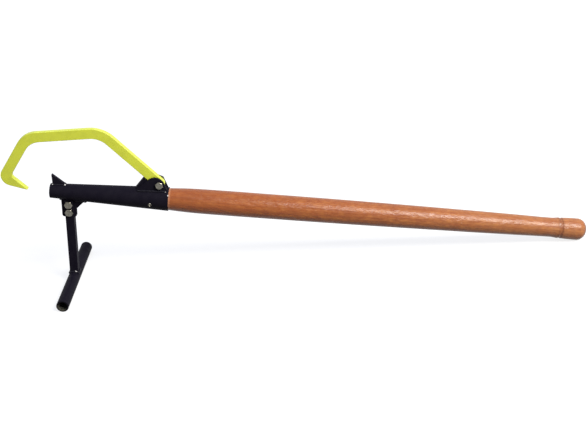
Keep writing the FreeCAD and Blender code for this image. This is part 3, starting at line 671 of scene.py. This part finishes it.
# %% Thread helper
BOLT_R = 5.0
PITCH, THREAD_DEPTH = 1.5, 0.92
THREAD_SHY = 0.05       # a thread's crests are this much under the bolt's size
END_TAPER = 1.0
RINGS_A_TURN = 8


def thread_rings(start, end, start_deg):
    """Rings of a rolled thread from start to end, with its end turned to a cone."""
    rings = []
    crest = BOLT_R - THREAD_SHY
    steps = round((end - start) / (PITCH / RINGS_A_TURN))
    for step in range(steps + 1):
        y = start + (end - start) * step / steps
        cone = crest - max(0.0, y - (end - END_TAPER))

        def radius(turn):
            phase = (y / PITCH - turn / math.tau) % 1
            return min(crest - THREAD_DEPTH * abs(2 * phase - 1), cone)

        rings.append(ring(y, radius, start_deg))
    return rings


print("thread core, mm across:", round(2 * (BOLT_R - THREAD_SHY - THREAD_DEPTH), 2))

# %% [markdown]
# The three bolts have the same head, a plain shank and the last turns of their thread past the nut.
# The forging die leaves a shallow dish in the head's top, whose raised rim catches the light.
# CAD boxes give the two ends of each bolt, so the new ones are exactly as long.

# %% Bolts
HEAD_HEIGHT = 6.4
DISH = [(0.9, 2.0), (0.9, 3.6), (0.75, 4.2), (0.35, 4.9), (0.10, 5.4), (0.0, 5.8)]   # (depth, radius)
SEAT_R = 6.2
NECK_ROUND, NECK_LENGTH = 0.15, 0.3         # the shank grows by this much where it meets the head
THREAD_SHOWN, RUN_OUT = 4.5, 0.4
END_FACE_R = 2.0
FASTENER_SHARP = 38


def local_span(node):
    """Lowest and highest Y of a CAD node, in millimetres; both rulers share the frame's Y."""
    low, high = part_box(node)
    return low.y / MM, high.y / MM


def make_bolt(node, place, start_deg):
    """Hex bolt with its head's top at the CAD bolt's lowest Y and its thread's end at the highest."""
    top, end = local_span(node)
    seat = top + HEAD_HEIGHT
    rings = [[Vector((0, top + DISH[0][0], 0))]] + [ring(top + deep, r, start_deg) for deep, r in DISH]
    rings += hex_rings(top, seat, start_deg)
    rings += [ring(seat, SEAT_R, start_deg), ring(seat, BOLT_R + NECK_ROUND, start_deg),
              ring(seat + NECK_LENGTH, BOLT_R, start_deg),
              ring(end - THREAD_SHOWN - RUN_OUT, BOLT_R, start_deg)]
    rings += thread_rings(end - THREAD_SHOWN, end, start_deg)
    rings += [ring(end, END_FACE_R, start_deg), [Vector((0, end, 0))]]
    new_piece("hex_" + node, joined_rows(rings), place, zinc_plated_steel, node,
              FASTENER_SHARP)


def on_axis(node):
    """Ruler whose origin is on the fastener's axis: the stand's lean is kept for the stand's bolts."""
    place = tool_place if node.startswith("pivot") else stand_place
    axis = middle(node)
    return Matrix.Translation((axis.x, 0, axis.z)) @ place.to_3x3().to_4x4()


HEAD_TURNS = {"pivot_bolt": 15, "upper_stand_bolt": 0, "lower_stand_bolt": 4}       # degrees
for node, start_deg in HEAD_TURNS.items():
    make_bolt(node, on_axis(node), -start_deg)

# %% [markdown]
# ## Nuts and washers
# A nut is a bolt's head with a hole: cones on both faces, and a countersink at each mouth of the
# thread. The pivot has a lock nut, whose round collar is rolled over a nylon ring that grips the
# thread, so the hook stays free to swing without the nut working loose. The collar is a short list of
# rings, from the nylon's seat over the rolled lip and down its outside.

# %% Nuts
NUT_GAP = 0.03
BORE_R = BOLT_R + NUT_GAP
COUNTERSINK = 0.6
COLLAR_R, COLLAR_HEIGHT = 7.4, 2.8
INSERT_R, INSERT_DEEP = 6.2, 2.2
LIP = [(INSERT_DEEP, INSERT_R), (0.35, INSERT_R), (0.05, INSERT_R + 0.2), (0.0, INSERT_R + 0.5),
       (0.15, COLLAR_R - 0.25), (0.5, COLLAR_R), (COLLAR_HEIGHT - 0.3, COLLAR_R),
       (COLLAR_HEIGHT - 0.05, COLLAR_R + 0.1)]                                  # (depth, radius)
NUT_TURNS = {"pivot_nut": 10, "upper_stand_nut": 12, "lower_stand_nut": 16}     # degrees

for node, start_deg in NUT_TURNS.items():
    low, high = local_span(node)
    if node == "pivot_nut":
        rings = [ring(high - deep, r, 0) for deep, r in LIP]
        rings += hex_rings(high - COLLAR_HEIGHT, low, -start_deg, True)
        rings += [ring(low, BORE_R + COUNTERSINK, 0), ring(low + COUNTERSINK, BORE_R, 0),
                  ring(high - INSERT_DEEP, BORE_R, 0)]
    else:
        rings = hex_rings(high, low, -start_deg, True)
        for y, r in ((low, BORE_R + COUNTERSINK), (low + COUNTERSINK, BORE_R),
                     (high - COUNTERSINK, BORE_R), (high, BORE_R + COUNTERSINK)):
            rings.append(ring(y, r, -start_deg))
    new_piece("hex_" + node, joined_rows(rings, closed=True), on_axis(node), zinc_plated_steel,
              node, FASTENER_SHARP)

# %% [markdown]
# Washers are punched from strip, which rounds the edges of one face and leaves the other's sharp. The
# nylon ring is moulded, with soft edges all round. Both are one profile with four rounded corners,
# spun about Y.

# %% Nylon ring and washers
CORNER_STEPS = 3
WASHER_R = {"pivot_washer": 10.0, "upper_stand_washer": 9.0, "lower_stand_washer": 9.0}
WASHER_GAP = 0.15
WASHER_ROUNDS = (0.1, 0.45)     # edge rounding of the face towards the head, and of the other
NYLON_ROUNDS = (0.15, 0.3)
NYLON_GAP = 0.02


def rounded_ring(node, outer, inner, rounds, material):
    """Flat ring between a CAD node's two faces, with rounded outer and inner edges."""
    rows = []
    for face, way, round_r in zip(local_span(node), (1, -1), rounds):
        corner = []
        for step in range(CORNER_STEPS + 1):
            turn = math.radians(90 / CORNER_STEPS * step)
            lift = round_r * (1 - math.cos(turn)) * way
            corner.append((face + lift, round_r * (1 - math.sin(turn))))
        inside = [ring(y, inner + inset, 0) for y, inset in reversed(corner)]
        outside = [ring(y, outer - inset, 0) for y, inset in corner]
        rows.append(inside + outside)
    new_piece(node + "_formed", joined_rows(rows[0] + rows[1][::-1], closed=True), on_axis(node),
              material, node, 30)


rounded_ring("pivot_nut_insert", INSERT_R - NYLON_GAP, BOLT_R - NYLON_GAP, NYLON_ROUNDS,
             natural_nylon)
for node, outer in WASHER_R.items():
    rounded_ring(node, outer, BORE_R + WASHER_GAP, WASHER_ROUNDS, zinc_plated_steel)

# %% [markdown]
# ## Cross rivet
# A soft steel rivet goes through socket and wood below the pivot, so that the handle can't pull out.
# Its ends are drilled, and a punch rolled each one over into a low ring with a pit in its middle. The
# ring is a short list of lifts and radii, spun about the rivet's axis.

# %% Rivet
RIVET_TILT = math.radians(14.5)
SHANK_R = 3.0
RIVET_SEAT = 25.30                              # from the handle's axis to the socket's outside
ROLLED_HEAD = [(-1.2, 1.2), (-1.1, 1.7), (-0.3, 2.1), (0.6, 2.55), (0.9, 2.9), (0.85, 3.3),
               (0.5, 3.75), (-0.4, 4.0)]        # (lift, radius)
rivet_place = (tool_place @ Matrix.Translation((RIVET_X * MM, 0, 0))
               @ Matrix.Rotation(RIVET_TILT, 4, "X"))


def rolled_head(way):
    """Rings of one head from its pit to its seat, on the side of the socket that way gives."""
    return [ring(way * (RIVET_SEAT + lift), r, 0) for lift, r in ROLLED_HEAD]


pit = RIVET_SEAT + ROLLED_HEAD[0][0]
under = RIVET_SEAT + ROLLED_HEAD[-1][0]
rivet_rings = [[Vector((0, -pit, 0))]] + rolled_head(-1)
rivet_rings += [ring(-under, SHANK_R, 0), ring(under, SHANK_R, 0)]
rivet_rings += rolled_head(1)[::-1] + [[Vector((0, pit, 0))]]
new_piece("rolled_rivet", joined_rows(rivet_rings), rivet_place, zinc_plated_steel,
          "handle_rivet", 40)

# %% [markdown]
# ## Weld beads
# A fillet weld fills the corner between two plates. The welder moves in short steps, and each step
# freezes as a crescent, so the bead looks like a row of overlapping coins. The bead is a rope along
# the joint: every ring of points bulges outwards and stays thin where it is inside the steel. A wave
# along the path makes the crescents, and it lags at the sides, as frozen metal does. Real crescents
# are 1 to 1.5 mm apart. These are 2.2 mm apart, so that they show.

# %% Weld path
WALK_STEP = 0.45


def walk(corners):
    """Points along straight runs, each with its corner's outward direction blended in."""
    points = []
    for (a, out_a), (b, out_b) in zip(corners, corners[1:]):
        count = max(1, round((b - a).length / WALK_STEP))
        for k in range(count):
            share = k / count
            points.append((a.lerp(b, share), out_a.lerp(out_b, share).normalized()))
    points.append((corners[-1][0], corners[-1][1].normalized()))
    return points


print("points to 10 mm of weld:", round(10 / WALK_STEP))

# %% Weld rope
RIPPLE_MM = 2.2
RIPPLE_HEIGHT = 0.16        # share of the bead's radius
RIPPLE_LAG = 0.45           # how far a ripple trails at the sides, as a share of its length
SUNK_MM = 0.9               # radius of the side of the rope that is inside the steel
UNEVEN_SHARE = 0.025        # how much a hand-made bead's size wanders
TAPER_POINTS = 6            # a bead's ends thin out over this many points
THINNEST = 0.05
ROPE_SIDES = 20
ROPE_SEED = 7


def weld_rope(path, radius, looped=False):
    """Rippled bead along a path of (point, outward direction)."""
    draw = random.Random(ROPE_SEED)
    rows = []
    travelled = 0.0
    count = len(path)
    for k, (point, out) in enumerate(path):
        before = path[(k - 1) % count if looped else max(k - 1, 0)][0]
        after = path[(k + 1) % count if looped else min(k + 1, count - 1)][0]
        way = (after - before).normalized()
        out = (out - way * out.dot(way)).normalized()
        side = way.cross(out)
        travelled += (point - before).length
        fade = 1.0
        if not looped:
            from_end = min(k, count - 1 - k) / TAPER_POINTS
            fade = math.sqrt(max(THINNEST, 1 - (1 - min(1.0, from_end)) ** 2))
        size = radius * fade * (1 + UNEVEN_SHARE * draw.uniform(-1, 1))
        row = []
        for s in range(ROPE_SIDES):
            turn = math.tau * s / ROPE_SIDES
            facing = math.sqrt(max(0.0, math.cos(turn)))
            lag = RIPPLE_LAG * (1 - math.cos(turn))
            wave = ((travelled / RIPPLE_MM + lag) % 1) - 0.5
            bulge = 1 + RIPPLE_HEIGHT * (0.5 - 4 * wave ** 2) * facing
            r = SUNK_MM * fade + (size * bulge - SUNK_MM * fade) * facing
            row.append(point + out * (r * math.cos(turn)) + side * (r * math.sin(turn)))
        rows.append(row)
    if not looped:
        rows = [[path[0][0]]] + rows + [[path[-1][0]]]
    return joined_rows(rows, closed=looped)


# %% [markdown]
# Each joint's line is worked out from the same numbers as the CAD's: where a plate's face meets the
# socket's cone. The outward direction is halfway between the faces that the bead joins.

# %% Ear welds
SOCKET_FRONT_R, SOCKET_REAR_R = 16.3, 26.7
HOOK_THICKNESS, EAR_GAP, EAR_THICKNESS = 12.7, 0.4, 6.0
EAR_OUTER_Y = HOOK_THICKNESS / 2 + EAR_GAP + EAR_THICKNESS
EAR_FOOT = (190.3, 256.0)
EAR_BEAD_R = 3.2


def on_cone(x, y, way=1):
    """Point of the socket's surface at x and y, on its top, or on its underside for a way of -1,
    and the direction straight out of the socket there."""
    radius = SOCKET_FRONT_R + (SOCKET_REAR_R - SOCKET_FRONT_R) * x / SOCKET_LENGTH
    point = Vector((x, y, way * math.sqrt(radius ** 2 - y ** 2)))
    return point, Vector((0, point.y, point.z)).normalized()


def weld_piece(name, bm, place, node):
    new_piece(name, bm, place, weld_powder_coat, node, 60)


for side_name, side in (("near", -1), ("far", 1)):
    corners = []
    for x in EAR_FOOT:
        point, lift = on_cone(x, side * EAR_OUTER_Y)
        corners.append((point, lift + Vector((0, side, 0))))
    weld_piece(side_name + "_ear_bead", weld_rope(walk(corners), EAR_BEAD_R), tool_place,
               side_name + "_ear_weld")

# %% [markdown]
# The tooth is welded all round its foot, so its bead is a closed loop of four runs. At a corner the
# bead looks out along both faces at once, so each of them gives its diagonal share.

# %% Tooth weld
DIAGONAL = 0.7
TOOTH_FOOT = {-1: 5.6, 1: 31.8}             # its front and its rear end
TOOTH_HALF, TOOTH_BEAD_R = 4.0, 2.6

tooth_corners = []
for x_way, y_way in ((-1, -1), (-1, 1), (1, 1), (1, -1)):
    point, lift = on_cone(TOOTH_FOOT[x_way], y_way * TOOTH_HALF)
    tooth_corners.append((point, lift + Vector((DIAGONAL * x_way, DIAGONAL * y_way, 0))))
tooth_corners.append(tooth_corners[0])
weld_piece("tooth_bead", weld_rope(walk(tooth_corners)[:-1], TOOTH_BEAD_R, True), tool_place,
           "tooth_weld")

# %% [markdown]
# The upright's fork covers the middle of the tab, so each of its two beads runs round one end and stops
# where the fork begins. Both make one piece, as one CAD node holds them.

# %% Tab welds
TAB_HALF, TAB_BEAD_R = 4.0, 3.0
TAB_ENDS = [(22.15, 27.52), (76.9, 53.12)]     # plate's end, and where the bead stops at the upright

tab_mesh = bmesh.new()
for end_x, inner_x in TAB_ENDS:
    x_way = -1 if end_x < inner_x else 1
    corners = []
    for x, y_way in ((inner_x, -1), (end_x, -1), (end_x, 1), (inner_x, 1)):
        point, lift = on_cone(x, y_way * TAB_HALF, -1)
        if x == end_x:
            corners.append((point, lift + Vector((DIAGONAL * x_way, DIAGONAL * y_way, 0))))
        else:
            corners.append((point, lift + Vector((0, y_way, 0))))
    bead = weld_rope(walk(corners), TAB_BEAD_R)
    spare = bpy.data.meshes.new("bead")
    bead.to_mesh(spare)
    bead.free()
    tab_mesh.from_mesh(spare)
    bpy.data.meshes.remove(spare)
weld_piece("tab_beads", tab_mesh, tool_place, "stand_tab_weld")

# %% [markdown]
# The square upright is cut to sit astride the round tube. Its bead follows that saddle: level along
# the two sides that run with the tube, and up and down over it along the other two.

# %% Foot weld
UPRIGHT_HALF = 9.5
FOOT_R, FOOT_BEAD_R = 13.45, 3.0
FACE_STEPS = 40
CORNER_POWER = 5            # odd and high, so the bead looks along one face until close to a corner

foot_path = []
for face in range(4):
    for k in range(FACE_STEPS):
        run = -UPRIGHT_HALF + 2 * UPRIGHT_HALF * k / FACE_STEPS
        across, y = ((run, -UPRIGHT_HALF), (UPRIGHT_HALF, run),
                     (-run, UPRIGHT_HALF), (-UPRIGHT_HALF, -run))[face]
        height = math.sqrt(FOOT_R ** 2 - across ** 2)
        lift = Vector((across, 0, height)).normalized()
        away = Vector(((across / UPRIGHT_HALF) ** CORNER_POWER, (y / UPRIGHT_HALF) ** CORNER_POWER, 0))
        foot_path.append((Vector((across, y, height - FOOT_DEPTH)),
                          (lift + away.normalized()).normalized()))
weld_piece("foot_bead", weld_rope(foot_path, FOOT_BEAD_R, True), stand_place, "foot_weld")

# %% [markdown]
# ## Floor and light
# The photograph has a plain white ground. The floor gives the camera and every reflection that white,
# less the object's shadow. Light that bounces from it onto the object finds a darker brownish grey, so
# the undersides stay as dark as in the photograph.

# %% Floor
FLOOR_HALF = 8.0
FLOOR_DROP = 0.0002         # keeps the floor clear of what stands on it
FLOOR_GLOW = 0.80           # near the tool, where the rest of the white comes from the light
GLOW_FROM, GLOW_TO = 0.6, 4.0
FLOOR_LIT = "#7F7F7F"
FLOOR_BOUNCE = "#57493A"


def background_rays(tree):
    """1 for the rays that show the background: from the camera, and off or through a surface."""
    rays = add_node(tree, "LightPath").outputs
    seen = add_node(tree, "Math", {0: rays["Is Camera Ray"], 1: rays["Is Glossy Ray"]},
                    operation="MAXIMUM")
    return add_node(tree, "Math", {0: seen, 1: rays["Is Transmission Ray"]}, operation="MAXIMUM")


floor_mesh = bpy.data.meshes.new("floor")
floor_bm = bmesh.new()
bmesh.ops.create_grid(floor_bm, x_segments=4, y_segments=4, size=FLOOR_HALF)
floor_bm.to_mesh(floor_mesh)
floor_bm.free()
floor = bpy.data.objects.new("floor", floor_mesh)
floor.location = (0, 0, -FLOOR_DROP)
bpy.context.scene.collection.objects.link(floor)

floor_material, tree = new_material("pale_floor")
floor_place = add_node(tree, "TexCoord").outputs["Object"]
from_middle = add_node(tree, "VectorMath", {0: floor_place}, operation="LENGTH")
glow_level = add_node(tree, "MapRange", {0: from_middle, 1: GLOW_FROM, 2: GLOW_TO, 3: FLOOR_GLOW})
glow = add_node(tree, "Emission", {"Color": "#FFFFFF", "Strength": glow_level})
lit = add_node(tree, "BsdfDiffuse", {"Color": FLOOR_LIT})
white = add_node(tree, "AddShader", {0: glow, 1: lit})
bounce = add_node(tree, "BsdfDiffuse", {"Color": FLOOR_BOUNCE})
both = add_node(tree, "MixShader", {0: background_rays(tree), 1: bounce, 2: white})
add_node(tree, "OutputMaterial", {0: both})
floor_mesh.materials.append(floor_material)
print("floor side, m:", 2 * FLOOR_HALF)

# %% [markdown]
# The light is a long soft box beside the tool, high on the camera's side and to the right, as the
# highlight along the handle shows: it is brightest near the knob.

# %% Lamp
LAMP_PLACE = Vector((2.2, -1.85, 2.75))
LAMP_LENGTH, LAMP_HEIGHT = 2.4, 1.3
LAMP_WATTS = 305.0

lamp_data = bpy.data.lights.new("soft_lamp", "AREA")
lamp_data.shape = "RECTANGLE"
lamp_data.size, lamp_data.size_y = LAMP_LENGTH, LAMP_HEIGHT
lamp_data.energy = LAMP_WATTS
lamp_data.color = from_hex("#FFFBF4")[:3]
lamp = bpy.data.objects.new("soft_lamp", lamp_data)
lamp.location = LAMP_PLACE
lamp.rotation_euler = (math.atan2(-LAMP_PLACE.y, LAMP_PLACE.z), 0, 0)
bpy.context.scene.collection.objects.link(lamp)
print("lamp at:", [round(v, 2) for v in lamp.location])

# %% [markdown]
# A sky that is stronger and bluer overhead does the rest from every side, and it is brighter behind
# the tool, as from a pale wall there, so that the far side reads too. The camera and reflections see a
# white backdrop in its place. The view transform Standard shows colours as they are written.

# %% Sky
SKY_LOW, SKY_HIGH = 0.30, 0.80
SKY_HIGH_FROM = 0.9         # how steep a direction has to be to see the full sky: 1 is straight up
SKY_BEHIND = 0.80

world = bpy.data.worlds.new("sky")
world.use_nodes = True
bpy.context.scene.world = world
tree = world.node_tree
tree.nodes.clear()
sky_place = add_node(tree, "TexCoord").outputs["Generated"]
sky_way = add_node(tree, "SeparateXYZ", {0: sky_place}).outputs
steep = add_node(tree, "MapRange", {0: sky_way[2], 2: SKY_HIGH_FROM})
sky_colour = add_node(tree, "Mix", {0: steep, 6: "#F4F5F7", 7: "#C4D2F4"}, data_type="RGBA")
overhead = add_node(tree, "MapRange", {0: steep, 3: SKY_LOW, 4: SKY_HIGH})
behind = add_node(tree, "MapRange", {0: sky_way[1], 4: SKY_BEHIND})
sky_level = add_node(tree, "Math", {0: overhead, 1: behind}, operation="ADD")
sky = add_node(tree, "Background", {"Color": sky_colour, "Strength": sky_level})
backdrop = add_node(tree, "Background", {"Color": "#FFFFFF", "Strength": 1.0})
both = add_node(tree, "MixShader", {0: background_rays(tree), 1: sky, 2: backdrop})
add_node(tree, "OutputWorld", {0: both})
bpy.context.scene.view_settings.view_transform = "Standard"
print("sky nodes:", len(tree.nodes))
